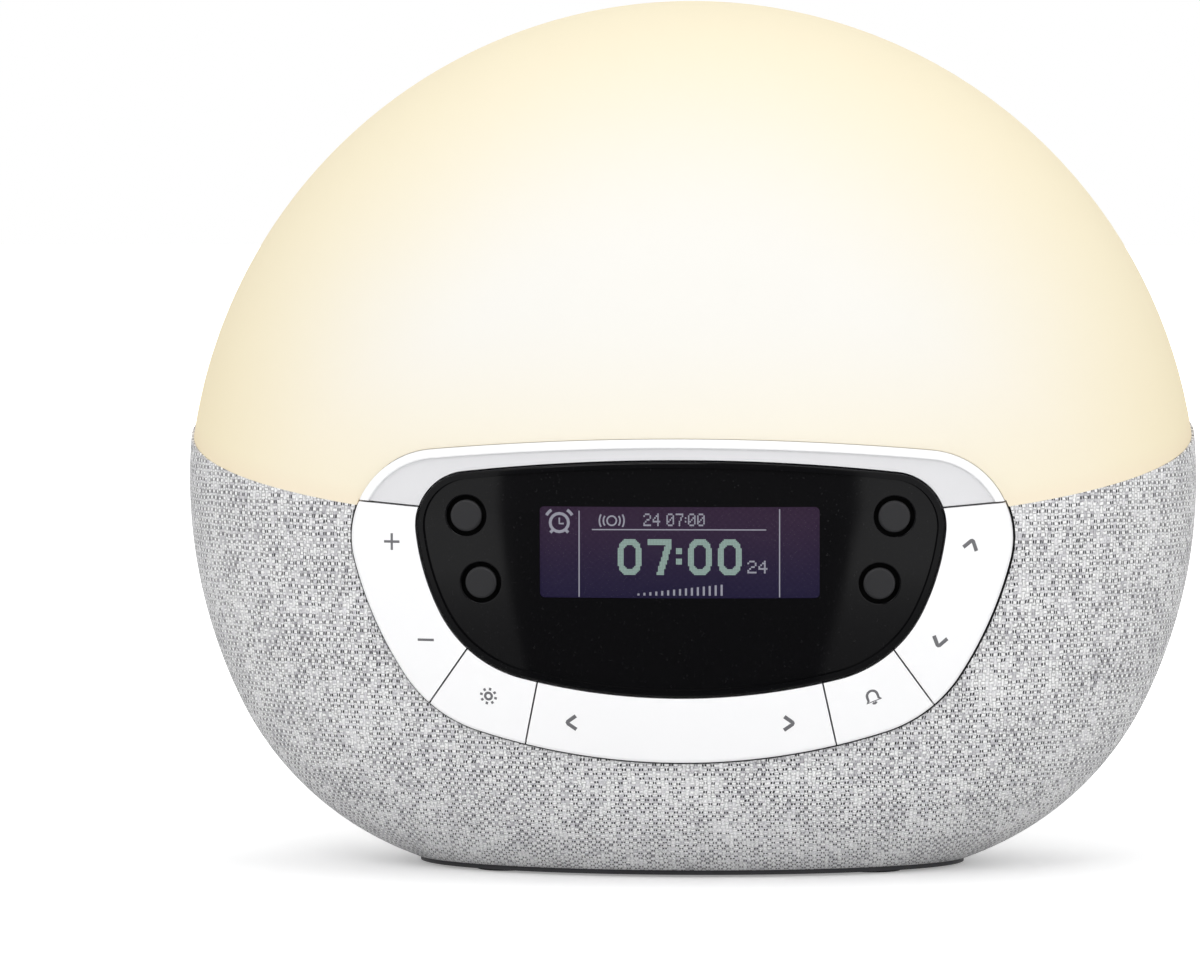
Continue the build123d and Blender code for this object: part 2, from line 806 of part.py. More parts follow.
def make_jack():
    wide, deep, tall = jack_size
    face = recess_end() - thread_gap
    low = jack_z - jack_axis_rise
    body = block(jack_x - wide / 2, jack_x + wide / 2, face - deep, face, low, low + tall)
    body -= rod(jack_x, jack_z, jack_bore, face - jack_bore_depth, face + past)
    start = face - jack_bore_depth
    return body, rod(jack_x, jack_z, jack_pin_radius, start, start + jack_pin_length)


# ---- Boards and light engine ----

def make_main_board():
    solid = block(-board_half_width, board_half_width, board_front, board_back, board_bottom, board_top)
    solid &= belly(base_inner + board_edge_gap)
    for x, y in corners(foot_place):
        solid -= drum(x, y, shank_radius + thread_gap, 0, FAR)
    return solid


def standing(x, y, size):
    """A component on the main board: the middle of its foot and its size."""
    return block(x - size[0] / 2, x + size[0] / 2, y - size[1] / 2, y + size[1] / 2,
                 board_top, board_top + size[2])


def make_board_parts():
    chips = [standing(x, y, size) for x, y, size in board_chips]
    return chips + [drum(x, y, can_radius, board_top, board_top + can_height) for x, y in board_cans]


def key_connector():
    wide, long, tall = connector_size
    return block(ribbon_x - wide / 2, ribbon_x + wide / 2, key_board_back, key_board_back + tall,
                 ribbon_z - long / 2, ribbon_z + long / 2)


def board_connector():
    return standing(ribbon_x, board_front + connector_inset + connector_size[1] / 2, connector_size)


def make_ribbon():
    """The flat cable from the key board down to the main board."""
    y0 = key_board_back + connector_size[2]
    y1 = board_front + connector_inset
    bend = (y0 + y1) / 2
    low = board_top + connector_size[2] / 2
    route = FilletPolyline((y0, ribbon_z), (bend, ribbon_z), (bend, low), (y1, low), radius=ribbon_bend)
    section = trace(route, ribbon_thickness)
    upright = Plane(origin=(ribbon_x - ribbon_width / 2, 0, 0), x_dir=(0, 1, 0), z_dir=(1, 0, 0))
    return extrude(upright * section, amount=ribbon_width)


def light_shape(shrink=0.0):
    wide, deep = light_board_half
    return Pos(0, light_board_y) * Ellipse(wide - shrink, deep - shrink)


def make_reflector():
    top, bottom = -tray_drop, -tray_drop - reflector_thickness
    inset = base_inner + 2 * fit_gap + tongue_wall + reflector_gap
    solid = belly(inset) & above(bottom) & below(top)
    solid &= block(-FAR, FAR, reflector_front, FAR, 0, FAR)
    window = seam_plane(bottom) * extrude(light_shape(light_board_seat), amount=2 * reflector_thickness)
    return solid - window


def make_light_board():
    return seam_plane(-tray_drop) * extrude(light_shape(), amount=board_thickness)


def make_chips():
    lift = board_thickness + chip_size[2] / 2
    chips = []
    for count, shrink in chip_rings:
        wide, deep = light_board_half[0] - shrink, light_board_half[1] - shrink
        for step in range(count):
            turn = 2 * pi * step / count
            spot = Pos(wide * cos(turn), light_board_y + deep * sin(turn), lift)
            chips.append(seam_plane(-tray_drop) * spot * Box(*chip_size))
    return chips


def make_sink():
    """The finned aluminium block that reaches the light board through the reflector's window."""
    wide, deep, thick = sink_size
    plane = seam_plane(-tray_drop)
    pad = plane * extrude(light_shape(light_board_seat + fit_gap), amount=-reflector_thickness)
    low = -reflector_thickness - thick
    plate = plane * Pos(0, light_board_y, low + thick / 2) * Box(wide, deep, thick)
    solid = pad + plate
    for step in range(fin_count):
        x = (step - (fin_count - 1) / 2) * fin_pitch
        solid += plane * Pos(x, light_board_y, low - fin_height / 2) * Box(fin_width, deep, fin_height)
    return solid


# ---- The whole clock ----

def mirror_place(place):
    return (-place[0], place[1])


ring = ring_pieces()
rockers = {
    "left_rocker": (mirror_place(rocker_top), mirror_place(rocker_low)),
    "right_rocker": (rocker_top, rocker_low),
    "bottom_rocker": (mirror_place(lower_rocker), lower_rocker),
}
pushers = {"left_push": mirror_place(push_place), "right_push": push_place}
caps = {
    "upper_left_cap": mirror_place(cap_upper),
    "lower_left_cap": mirror_place(cap_lower),
    "upper_right_cap": cap_upper,
    "lower_right_cap": cap_lower,
}
pivots = {name: rocker_pivot(*ends) for name, ends in rockers.items()}
switch_places = [end for ends in rockers.values() for end in ends]
switch_places += list(pushers.values()) + list(caps.values())

save("fabric_cover", make_fabric())
save("base_shell", make_base())
save("diffuser_dome", make_dome())
save("base_plate", make_base_plate())
for (x, y), name in zip(corners(foot_place), ("front_left", "back_left", "front_right", "back_right")):
    save(f"foot_{name}", drum(x, y, foot_radius, 0, foot_reveal + foot_sink))

save("face_frame", make_frame(ring["arch"], pivots.values(), switch_places))
save("front_panel", make_lens())
for name, ends in rockers.items():
    save(f"{name}_key", make_rocker(ring[name], ends, pivots[name]))
    save(f"{name}_pin", pivot_rod(pivots[name], pin_radius, pin_length()))
    save(f"{name}_plungers", *[make_plunger(x, z) for x, z in ends])
for name, place in pushers.items():
    save(f"{name}_key", key_body(ring[name], [place]))
    save(f"{name}_plunger", make_plunger(*place))
for name, place in caps.items():
    save(name, make_cap(*place))
    save(f"{name}_plunger", make_plunger(*place))
save("key_board", make_key_board())
save("key_switches", *make_switches(switch_places))
display_glass_piece, display_holder = make_display()
save("display_glass", display_glass_piece)
save("display_holder", display_holder)

save("rear_cover", make_cover())
basket, magnet, cone = make_speaker()
save("speaker_basket", basket)
save("speaker_magnet", magnet)
save("speaker_cone", cone)
jack, jack_pin = make_jack()
save("power_jack", jack)
save("power_jack_pin", jack_pin)

save("main_board", make_main_board())
save("main_board_parts", *make_board_parts())
save("ribbon_connectors", key_connector(), board_connector())
save("ribbon_cable", make_ribbon())
save("reflector", make_reflector())
save("light_board", make_light_board())
save("light_chips", *make_chips())
save("heat_sink", make_sink())

save("face_screws", *[screw(x, tray_back + ledge_thickness, z, (0, -1, 0)) for x, z in face_screws])
save("key_board_screws", *[screw(x, key_board_back, z, (0, -1, 0))
                           for place in key_board_screws for x, z in both_sides(place)])
save("rear_cover_screws", *[screw(x, cover_screw_seat(x, z), z, (0, -1, 0))
                            for x, z in cover_screw_places()])
save("main_board_screws", *[screw(x, y, board_top, (0, 0, -1)) for x, y in corners(foot_place)])
save("foot_screws", *[screw(x, y, plate_screw_seat, (0, 0, 1), flat_head_height)
                      for x, y in corners(foot_place)])
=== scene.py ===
from math import asin, atan2, cos, hypot, pi, radians, sin, sqrt

import bpy
from mathutils import Matrix, Vector


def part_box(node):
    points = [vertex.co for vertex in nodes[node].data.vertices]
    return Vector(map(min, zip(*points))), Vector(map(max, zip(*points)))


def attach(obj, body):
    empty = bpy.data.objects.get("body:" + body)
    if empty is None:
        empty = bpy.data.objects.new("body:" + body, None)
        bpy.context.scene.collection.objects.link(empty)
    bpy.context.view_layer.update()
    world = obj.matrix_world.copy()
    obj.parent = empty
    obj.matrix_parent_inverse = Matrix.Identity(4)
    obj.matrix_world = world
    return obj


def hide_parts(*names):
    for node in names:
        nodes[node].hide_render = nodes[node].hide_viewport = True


# A sunrise alarm clock: a lit dome on a fabric-wrapped base, with a black display panel in a
# ring of white keys. Metres, +Z up, the face looks along -Y.

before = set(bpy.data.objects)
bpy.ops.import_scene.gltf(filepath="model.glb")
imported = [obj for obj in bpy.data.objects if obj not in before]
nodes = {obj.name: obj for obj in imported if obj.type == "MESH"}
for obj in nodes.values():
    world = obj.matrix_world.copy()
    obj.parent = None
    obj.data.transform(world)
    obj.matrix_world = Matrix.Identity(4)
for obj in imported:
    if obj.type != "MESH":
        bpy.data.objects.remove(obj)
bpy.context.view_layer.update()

# ---- Camera ----
# A long lens at the height of the dome's foot, almost level, a little to the right of the middle.
# It stands 1.5 m away, and its frame is shifted a little to the left and down.

mm = 0.001
looked_at = Vector((0, 0, 87.9 * mm))
camera_turn, camera_rise, camera_distance = radians(2.5), radians(2.5), 1.5

camera = bpy.data.objects.new("camera", bpy.data.cameras.new("camera"))
bpy.context.scene.collection.objects.link(camera)
camera.location = looked_at + camera_distance * Vector((
    sin(camera_turn) * cos(camera_rise), -cos(camera_turn) * cos(camera_rise), sin(camera_rise)))
camera.rotation_euler = (looked_at - camera.location).to_track_quat("-Z", "Y").to_euler()
camera.data.sensor_width = 36
camera.data.lens = 214.9
camera.data.shift_x = -0.0767
camera.data.shift_y = -0.030
bpy.context.scene.camera = camera

# ---- Studio ----
# White all round and a white floor, with soft boxes above and in front. A gloss surface sees a dark
# card straight ahead of the face, and of the floor only the floor's own glow.


class Level:
    """A socket's value. Sums and products of levels add Math nodes."""

    def __init__(self, shading, socket):
        self.shading, self.socket = shading, socket

    def math(self, operation, *values):
        return self.shading.node("Math", {"operation": operation}, dict(enumerate(values)))

    def __add__(self, other):
        return self.math("ADD", self, other)

    def __radd__(self, other):
        return self.math("ADD", other, self)

    def __sub__(self, other):
        return self.math("SUBTRACT", self, other)

    def __rsub__(self, other):
        return self.math("SUBTRACT", other, self)

    def __mul__(self, other):
        return self.math("MULTIPLY", self, other)

    def __rmul__(self, other):
        return self.math("MULTIPLY", other, self)

    def __truediv__(self, other):
        return self.math("DIVIDE", self, other)

    def __lt__(self, other):
        return self.math("LESS_THAN", self, other)

    def __gt__(self, other):
        return self.math("GREATER_THAN", self, other)

    def __or__(self, other):
        return self.math("MAXIMUM", self, other)

    def __abs__(self):
        return self.math("ABSOLUTE", self)

    def __pow__(self, other):
        return self.math("POWER", self, other)

    def whole(self):
        return self.math("FLOOR", self)

    def wave(self):
        return self.math("SINE", self)


class Shading:
    """The nodes of one finish, or of the world."""

    def __init__(self, tree):
        self.tree = tree

    def node(self, kind, settings, sockets, output=0):
        """Add a node: its settings first, then the values or links of its sockets."""
        made = self.tree.nodes.new("ShaderNode" + kind)
        for name, value in settings.items():
            if name == "stops":
                while len(made.color_ramp.elements) < len(value):
                    made.color_ramp.elements.new(0.5)
                for element, (position, colour) in zip(made.color_ramp.elements, value):
                    element.position, element.color = position, colour
            else:
                setattr(made, name, value)
        for name, value in sockets.items():
            self.put(made.inputs[name], value)
        return Level(self, made.outputs[output])

    def put(self, socket, value):
        if isinstance(value, Level):
            self.tree.links.new(value.socket, socket)
        else:
            socket.default_value = value

    def ease(self, level, low, high):
        """0 below low, 1 above high, and smooth between."""
        return self.node("MapRange", {"interpolation_type": "SMOOTHSTEP"},
                         {0: level, 1: low, 2: high, 3: 0.0, 4: 1.0})

    def split(self, vector):
        made = self.node("SeparateXYZ", {}, {0: vector})
        return [Level(self, output) for output in made.socket.node.outputs]

    def join(self, x, y, z=0.0):
        return self.node("CombineXYZ", {}, {0: x, 1: y, 2: z})

    def mix(self, part, first, second):
        """From the first colour to the second."""
        return self.node("Mix", {"data_type": "RGBA"}, {0: part, 6: first, 7: second}, 2)


def colour(red, green, blue):
    """A screen colour from 0 to 255, as the shader's light levels."""
    shares = [value / 255 for value in (red, green, blue)]
    return (*[share / 12.92 if share <= 0.04045 else ((share + 0.055) / 1.055) ** 2.4
              for share in shares], 1.0)


bpy.context.scene.view_settings.view_transform = "Standard"
world = bpy.data.worlds.new("studio")
bpy.context.scene.world = world
world.use_nodes = True
air = Shading(world.node_tree)
ray = air.node("LightPath", {}, {}).socket.node
seen = Level(air, ray.outputs["Is Camera Ray"])
mirrored = Level(air, ray.outputs["Is Glossy Ray"])
passed = Level(air, ray.outputs["Is Transmission Ray"])
across, ahead, _ = air.split(air.node("TexCoord", {}, {}, 0))

card_left, card_right = (-0.53, -0.49), (0.375, 0.42)
nearest_ahead = 0.02
fill_light, card_darkness = 0.74, 0.9


def card_share(shading, x, y):
    """1 in front of the face, where a dark card hangs, and 0 to both sides of it.

    The card's edges are bearings: how far to the side for each step ahead.
    """
    bearing = x / ((0 - y) | nearest_ahead)
    return shading.ease(bearing, *card_left) * (1 - shading.ease(bearing, *card_right)) * (y < 0)


shown_level = seen | passed | mirrored * (1 - card_darkness * card_share(air, across, ahead))
strength = shown_level + (1 - (seen | passed | mirrored)) * fill_light
background = world.node_tree.nodes["Background"]
background.inputs["Color"].default_value = (1, 1, 1, 1)
air.put(background.inputs["Strength"], strength)


def soft_box(name, place, size, power):
    """A square lamp at place, turned to the clock."""
    lamp = bpy.data.objects.new(name, bpy.data.lights.new(name, "AREA"))
    bpy.context.scene.collection.objects.link(lamp)
    lamp.data.size = size
    lamp.data.energy = power
    lamp.location = place
    lamp.rotation_euler = (looked_at - Vector(place)).to_track_quat("-Z", "Y").to_euler()
    return lamp


soft_box("front_box", (-0.5, -2.4, 1.9), 1.2, 13.5)
soft_box("top_box", (0.2, -0.1, 2.2), 1.8, 11.5)
low_box = soft_box("low_box", (0.3, -2.2, 0.35), 1.2, 16.5)
low_box.visible_glossy = False

bpy.ops.object.select_all(action="DESELECT")
bpy.ops.mesh.primitive_grid_add(x_subdivisions=4, y_subdivisions=4, size=16)
floor = bpy.context.object
floor.name = "floor"
floor_material = bpy.data.materials.new("floor_white")
floor_material.use_nodes = True
ground = Shading(floor_material.node_tree)
ground_path = ground.node("LightPath", {}, {}).socket.node
ground_glossy = Level(ground, ground_path.outputs["Is Glossy Ray"])
lit = (Level(ground, ground_path.outputs["Is Camera Ray"]) | ground_glossy
       | Level(ground, ground_path.outputs["Is Transmission Ray"]))
floor_x, floor_y, _ = ground.split(ground.node("TexCoord", {}, {}, 3))
shadow_reach, shadow_end, shadow_glow = 0.12, 0.5, 0.3
far_out = ground.ease((floor_x * floor_x + floor_y * floor_y) ** 0.5, shadow_reach, shadow_end)
under_card = ground_glossy * card_share(ground, floor_x, floor_y)
floor_grey, gloss_black = (0.86, 0.86, 0.86, 1), (0, 0, 0, 1)
floor_shader = floor_material.node_tree.nodes["Principled BSDF"]
ground.put(floor_shader.inputs["Base Color"], ground.mix(ground_glossy, floor_grey, gloss_black))
floor_shader.inputs["Roughness"].default_value = 0.9
floor_shader.inputs["Emission Strength"].default_value = 1.0
glow_level = lit * (1 - under_card) * (shadow_glow + (1 - shadow_glow) * far_out)
ground.put(floor_shader.inputs["Emission Color"], ground.join(glow_level, glow_level, glow_level))
floor.data.materials.append(floor_material)

# ---- Light engine ----
# An oval aluminium board of phosphor light chips, on a finned heat sink that reaches it through
# the window of a white moulded reflector. All of it lies parallel to the foot of the dome. The
# main board and the key board have the same green mask.


class Finish(Shading):
    """A surface: one Principled shader with fixed values, and the nodes that vary the others."""

    def __init__(self, name, fixed):
        self.material = bpy.data.materials.new(name)
        self.material.use_nodes = True
        super().__init__(self.material.node_tree)
        self.shader = self.tree.nodes["Principled BSDF"]
        for socket, value in fixed.items():
            self.put(self.shader.inputs[socket], value)
        self.place = self.node("TexCoord", {}, {}, 3)

    def grain(self, scale, detail=2.0, place=None):
        """Cloudy noise from 0 to 1, scale cells to the metre."""
        return self.node("TexNoise", {}, {"Vector": place or self.place, "Scale": scale, "Detail": detail})

    def speckle(self, vector):
        """A value of its own for each whole step of the vector."""
        return self.node("TexWhiteNoise", {"noise_dimensions": "3D"}, {"Vector": vector})

    def relief(self, height, depth, strength=1.0):
        """Raise the surface by height, from 0 to 1, times depth in metres."""
        bump = self.node("Bump", {}, {"Height": height, "Distance": depth, "Strength": strength})
        self.vary("Normal", bump)

    def vary(self, socket, level):
        self.put(self.shader.inputs[socket], level)

    def onto(self, *pieces):
        for piece in pieces:
            piece.data.materials.clear()
            piece.data.materials.append(self.material)


board_green = colour(24, 92, 58)
track_green = colour(46, 124, 80)
chip_yellow = colour(240, 214, 96)


def circuit_finish(name, pitch):
    """Green solder mask over copper tracks that run along the board, pitch apart."""
    finish = Finish(name, {"Roughness": 0.35, "Coat Weight": 0.3})
    x, y, _ = finish.split(finish.place)
    bend = finish.grain(60.0) * 6 * pitch
    track = finish.ease(((x + y * 0.5 + bend) / pitch * 2 * pi).wave(), 0.1, 0.5)
    patch = finish.grain(45.0, 0.0) > 0.5
    finish.vary("Base Color", finish.mix(track * patch, board_green, track_green))
    finish.relief(track * patch, 0.04 * mm)
    return finish


circuit = circuit_finish("solder_mask", 1.6 * mm)
circuit.onto(nodes["light_board"], nodes["main_board"], nodes["key_board"])

phosphor = Finish("phosphor_gel", {"Roughness": 0.25, "Emission Strength": 0.6})
dots = phosphor.grain(1800.0)
phosphor.vary("Base Color", phosphor.mix(dots, chip_yellow, colour(250, 232, 150)))
phosphor.vary("Emission Color", phosphor.mix(dots, colour(255, 214, 120), colour(255, 236, 180)))
phosphor.onto(nodes["light_chips"])

sawn = Finish("extruded_aluminium", {"Roughness": 0.35, "Metallic": 1.0})
sx, sy, sz = sawn.split(sawn.place)
die_lines = sawn.grain(900.0, 3.0, sawn.join(sx, sy * 0.03, sz))
sawn.vary("Base Color", sawn.mix(die_lines, colour(186, 188, 192), colour(212, 214, 218)))
sawn.vary("Roughness", 0.28 + die_lines * 0.2)
sawn.relief(die_lines, 0.02 * mm)
sawn.onto(nodes["heat_sink"])

# ---- Diffuser dome ----
# A blow-moulded dome of milky polypropylene, 2.2 mm thick, frosted outside. The chips light it from
# below, so it glows warmest along its foot, where it drops on a tongue behind the fabric.

dome_radius = 105.5 * mm
dome_centre = 74.8 * mm
seam_height, seam_slope = 90.65 * mm, 0.288
foot_fade, foot_band = 42 * mm, 5 * mm
# The rim's glow colour is painted shade, for the front light grazing the dome's edge.
glow_middle, rim_shade_glow = (0.195, 0.185, 0.16, 1), (0.235, 0.16, 0.02, 1)
glow_low, glow_foot = (0.25, 0.165, 0.01, 1), (0.23, 0.125, 0.0, 1)

milk = Finish("frosted_diffuser", {"Emission Strength": 1.0, "IOR": 1.49, "Specular IOR Level": 0.15})
mx, my, mz = milk.split(milk.place)
rise = (mz - seam_height - my * seam_slope) / hypot(1, seam_slope)
outward = ((mx * mx + (mz - dome_centre) * (mz - dome_centre)) ** 0.5) / dome_radius
cloud = milk.grain(14.0, 3.0)
# Painted shade: towards the rim of the front view, the glow and the base colour turn warmer and darker, as
# where the front light grazes the dome. From the side this shows as a yellow band.
painted_rim_shade = milk.ease(outward + (cloud - 0.5) * 0.08, 0.5, 1.0)
foot_glow = 1 - milk.ease(rise, 0.0, foot_fade)
foot_line = 1 - milk.ease(rise, 0.0, foot_band)
glow = milk.mix(painted_rim_shade, glow_middle, rim_shade_glow)
glow = milk.mix(foot_glow * 0.7, glow, glow_low)
glow = milk.mix(foot_line * 0.7, glow, glow_foot)
milk.vary("Emission Color", glow)
plain = milk.mix(cloud, colour(205, 204, 201), colour(210, 209, 206))
milk.vary("Base Color", milk.mix(painted_rim_shade | foot_glow * 0.6, plain, colour(206, 204, 193)))
frost = milk.grain(2600.0, 2.0)
milk.vary("Roughness", 0.52 + frost * 0.1)
milk.relief(frost, 0.02 * mm, 0.4)
milk.onto(nodes["diffuser_dome"])

bright = Finish("reflector_white", {"Roughness": 0.3, "Specular IOR Level": 0.4})
bright.vary("Base Color", bright.mix(bright.grain(400.0), colour(240, 240, 238), colour(246, 246, 244)))
bright.relief(bright.grain(3000.0), 0.01 * mm)
bright.onto(nodes["reflector"])

# ---- Face frame and keys ----
# One satin white moulding carries the arch over the panel, the tray behind the keys and the cheeks of
# the rocker pins. Five hollow keys of the same plastic close the ring round the panel.

white_keys = ("left_rocker_key", "right_rocker_key", "bottom_rocker_key", "left_push_key", "right_push_key")
spark_cells, spark_depth, spark_strength = 5200.0, 0.012 * mm, 0.5


def satin_finish(name, low, high, roughness, specular=0.5):
    """Moulded plastic with a fine spark-eroded grain and a faint flow of tone."""
    finish = Finish(name, {"Specular IOR Level": specular})
    flow = finish.grain(30.0, 2.0)
    spark = finish.grain(spark_cells)
    finish.vary("Base Color", finish.mix(flow, low, high))
    finish.vary("Roughness", roughness + (spark - 0.5) * 0.12)
    finish.relief(spark, spark_depth, spark_strength)
    return finish


satin_white = satin_finish("satin_white", colour(237, 237, 238), colour(241, 241, 242), 0.42, 0.4)
satin_white.onto(*[nodes[key] for key in white_keys])

face_y, face_z = -62 * mm, 73 * mm
bend_across, bend_up = 184 * mm, 150 * mm
valley_edge, valley_floor = 0.15 * mm, 1.0 * mm


def under_face(finish):
    """How deep a point lies under the face's surface, which is a patch of a torus."""
    x, y, z = finish.split(finish.place)
    from_axis = y - (face_y + bend_across)
    from_ring = (x * x + from_axis * from_axis) ** 0.5 - (bend_across - bend_up)
    return bend_up - (from_ring * from_ring + (z - face_z) * (z - face_z)) ** 0.5


# Painted shade: the arch's valley goes greyer with its depth under the face, as shade in the groove.
arch_white_shaded = Finish("arch_white_shaded", {"Specular IOR Level": 0.4, "Roughness": 0.42})
valley_shade = arch_white_shaded.ease(under_face(arch_white_shaded), valley_edge, valley_floor)
arch_white_shaded.vary("Base Color", arch_white_shaded.mix(valley_shade, colour(239, 239, 240), colour(213, 213, 215)))
arch_white_shaded.relief(arch_white_shaded.grain(spark_cells), spark_depth, spark_strength)
arch_white_shaded.onto(nodes["face_frame"])

# ---- Signs on the keys ----
# Grey pad-printed strokes on the ring's keys: plus and minus, arrows, a sun for the light and a bell
# for the alarm. Each stroke is a thin raised line of ink with round ends.

broad_stroke, fine_stroke, ink_height = 0.8 * mm, 0.52 * mm, 0.035 * mm


def face_spot(x, z, depth=0.0):
    """A point of the face's surface, or of the layer at a depth under it, and the way it looks."""
    reach = bend_across - bend_up + sqrt((bend_up - depth) ** 2 - (z - face_z) ** 2)
    turn = asin(x / reach)
    tip = asin((z - face_z) / (bend_up - depth))
    return Vector((x, face_y + bend_across - reach * cos(turn), z)), turn, tip


def arc(centre, radius, start, end, steps=10):
    """Points of an arc, the angles in degrees from the right, turning to the left."""
    angles = [radians(start + (end - start) * step / steps) for step in range(steps + 1)]
    return [(centre[0] + radius * cos(angle), centre[1] + radius * sin(angle)) for angle in angles]


def print_sign(name, strokes, width):
    """Strokes of ink in the plane of X and Z round the origin, from lines of points in millimetres."""
    lines = bpy.data.curves.new(name, "CURVE")
    lines.dimensions = "3D"
    lines.bevel_depth = width / 2
    lines.bevel_resolution = 2
    lines.use_fill_caps = True
    for points in strokes:
        spline = lines.splines.new("POLY")
        closed = len(points) > 3 and points[0] == points[-1]
        points = points[:-1] if closed else points
        spline.points.add(len(points) - 1)
        spline.use_cyclic_u = closed
        for point, (x, z) in zip(spline.points, points):
            point.co = (x * mm, 0, z * mm, 1)
    piece = bpy.data.objects.new(name, lines)
    bpy.context.scene.collection.objects.link(piece)
    for other in list(bpy.context.selected_objects):
        other.select_set(False)
    piece.select_set(True)
    bpy.context.view_layer.objects.active = piece
    bpy.ops.object.convert(target="MESH")
    return bpy.context.object


def settle(piece, matrix):
    """Move a piece's mesh by a matrix, so that its object stays at the origin."""
    piece.data.transform(matrix)
    if matrix.determinant() < 0:
        piece.data.flip_normals()
    piece.data.update()


def lay_on_face(piece, x, z, turn, thickness, depth=0.0):
    """Flatten a sign to its thickness, turn it in the front view and lay it on the face."""
    spot, side, tip = face_spot(x * mm, z * mm, depth)
    width = max(corner[1] for corner in piece.bound_box) - min(corner[1] for corner in piece.bound_box)
    settle(piece, Matrix.Translation(spot) @ Matrix.Rotation(side, 4, "Z") @ Matrix.Rotation(-tip, 4, "X")
           @ Matrix.Rotation(-radians(turn), 4, "Y") @ Matrix.Scale(2 * thickness / width, 4, (0, 1, 0)))


ink = Finish("grey_ink", {"Roughness": 0.55})
ink.vary("Base Color", ink.mix(ink.grain(1500.0), colour(98, 98, 101), colour(112, 112, 115)))
ink.relief(ink.grain(6000.0), 0.008 * mm)

chevron = [(1.45, -0.97), (0.25, 0.68), (0, 0.8), (-0.25, 0.68), (-1.45, -0.97)]
ray_start, ray_end = 1.25, 1.8
sun_rays = [[(reach * cos(radians(turn)), reach * sin(radians(turn))) for reach in (ray_start, ray_end)]
            for turn in range(0, 360, 45)]
bell = [(-1.45, -0.85), (-1.1, -0.5), (-1.1, 0.35), *arc((0, 0.35), 1.1, 180, 0), (1.1, -0.5),
        (1.45, -0.85), (-1.45, -0.85)]
signs = (
    ("plus_sign", "left_rocker", (-58.6, 70.1), 0, [[(-1.7, 0), (1.7, 0)], [(0, -1.7), (0, 1.7)]]),
    ("minus_sign", "left_rocker", (-51.7, 50.2), 0, [[(-1.75, 0), (1.75, 0)]]),
    ("back_sign", "bottom_rocker", (-22.0, 33.7), 90, [chevron]),
    ("forward_sign", "bottom_rocker", (22.0, 33.7), -90, [chevron]),
    ("up_sign", "right_rocker", (58.7, 69.8), -16.5, [chevron]),
    ("down_sign", "right_rocker", (52.3, 50.1), 167, [chevron]),
    ("sun_sign", "left_push", (-38.9, 38.9), -17, [arc((0, 0), 0.7, 0, 360, 16)] + sun_rays),
    ("bell_sign", "right_push", (38.9, 38.9), 22, [bell, arc((0, -0.95), 0.4, 200, 340, 4)]),
)
for name, body, (x, z), turn, strokes in signs:
    broad = strokes == [chevron]
    sign = print_sign(name, strokes, broad_stroke if broad else fine_stroke)
    lay_on_face(sign, x, z, turn, ink_height)
    ink.onto(sign)
    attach(sign, body)

# ---- Front panel ----
# A curved piano-black moulding with a raised, rounded rim and four round wells. The display's window
# in it is left clear, and only smoked.

window_z, window_half, window_corner = 68.4 * mm, (28.25 * mm, 9.25 * mm), 1.0 * mm
field_start, well_start = (0.4 * mm, 0.75 * mm), (1.3 * mm, 1.7 * mm)

piano = Finish("piano_black", {"Specular IOR Level": 0.1, "Coat Roughness": 0.04})
px, py, pz = piano.split(piano.place)
corner_x = (abs(px) - (window_half[0] - window_corner)) | 0
corner_z = (abs(pz - window_z) - (window_half[1] - window_corner)) | 0
window = (corner_x * corner_x + corner_z * corner_z) ** 0.5 < window_corner
depth = under_face(piano)
field = piano.ease(depth, *field_start) * (1 - piano.ease(depth, *well_start))
smear = piano.grain(38.0, 4.0, piano.join(px, py, pz * 0.4))
dust = piano.grain(2200.0, 1.0) > 0.735
deep_black, dust_grey = (0.0035, 0.0035, 0.004, 1), (0.03, 0.03, 0.032, 1)
piano.vary("Base Color", piano.mix(dust * 0.35, deep_black, dust_grey))
piano.vary("Roughness", 0.07 + smear * 0.07 + dust * 0.2)
piano.vary("Alpha", 1 - window * 0.86)
piano.vary("Coat Weight", 0.04 + field * (0.15 + smear * 0.05))
piano.relief(piano.grain(22.0), 0.01 * mm)
piano.onto(nodes["front_panel"])

# ---- Round caps ----
# Four caps of dark matt plastic stand 0.6 mm out of the panel's wells, each on a stem to its own
# switch. Their tops follow the curve of the face, and their shoulders are painted near-black, as shade down
# in the wells.

top_ends, shoulder_shade = (0.8 * mm, 1.0 * mm), (0.001, 0.001, 0.001, 1)

cap_black = Finish("cap_black", {"Specular IOR Level": 0.3})
cap_top = 1 - cap_black.ease(under_face(cap_black), *top_ends)
cap_spark = cap_black.grain(spark_cells)
# Painted shade: below the top, each cap's shoulder goes near-black, as in the wells' shadow.
cap_black.vary("Base Color", cap_black.mix(cap_top, shoulder_shade, colour(40, 40, 42)))
cap_black.vary("Roughness", 0.9 - cap_top * (0.45 - cap_spark * 0.1))
cap_black.relief(cap_spark, spark_depth, spark_strength)
cap_black.onto(*[nodes[f"{level}_{side}_cap"] for level in ("upper", "lower") for side in ("left", "right")])

# ---- Display ----
# A dark glass module in a black holder behind the panel's window. Its image is a few thin lines, a
# bell, bars, and plain numbers made of square dots, which give out a pale grey light.

screen_low, screen_high, mesh_pitch = 58 * mm, 79 * mm, 0.22 * mm

